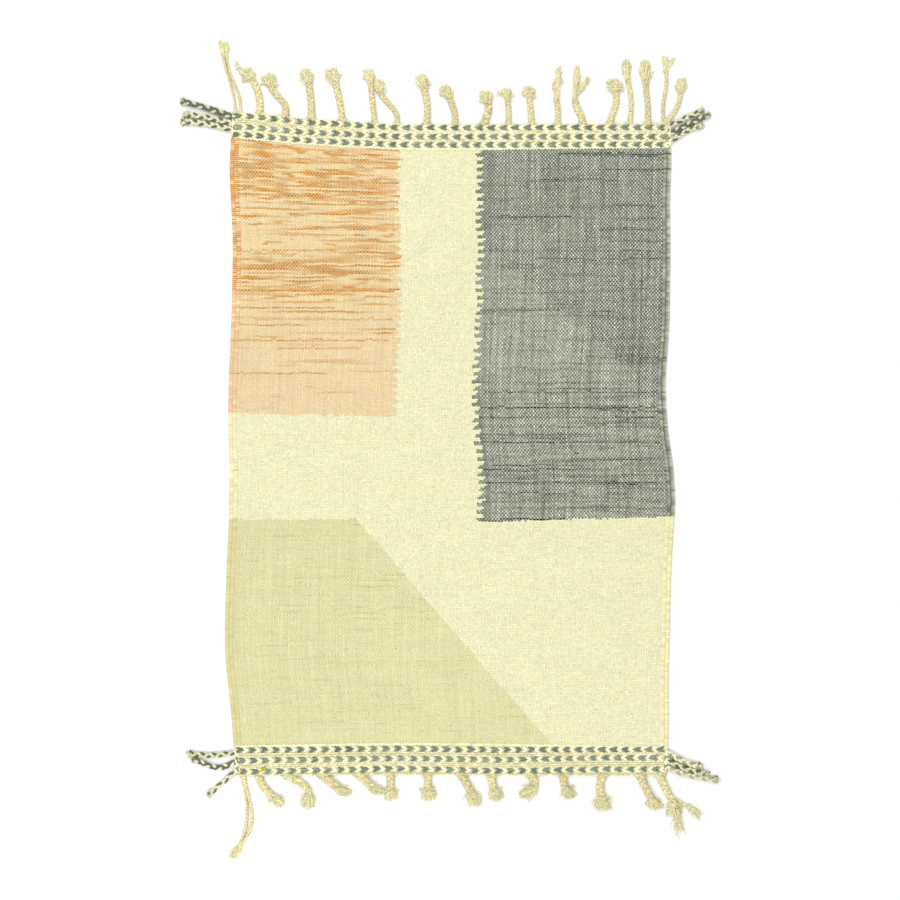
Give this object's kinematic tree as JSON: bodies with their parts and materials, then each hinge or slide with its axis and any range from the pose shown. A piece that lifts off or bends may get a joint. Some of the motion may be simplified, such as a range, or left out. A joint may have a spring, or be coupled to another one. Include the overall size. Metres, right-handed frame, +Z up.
{
  "type": "flatwoven berber kilim rug",
  "caption": "Flatwoven wool kilim lying flat, with woven colour blocks, corded selvedges, twined chevron end bands, plaited warp tassels and small corner braids.",
  "frame": {"origin": "on the flat underside, in the middle of the cloth", "axes": "+X across the cloth to the right, +Y along the warps towards the top end, +Z up out of the floor"},
  "size_m": [1.2298, 1.8616, 0.0142],
  "materials": {
    "woven_wool": "matt flat-woven wool in cream, peach, grey and straw blocks",
    "twined_wool": "matt twined and plaited wool, cream with grey chevrons"
  },
  "bodies": {
    "root": {"woven_field": "woven_wool", "end_band_top": "twined_wool", "end_band_bottom": "twined_wool"}
  },
  "joints": []
}
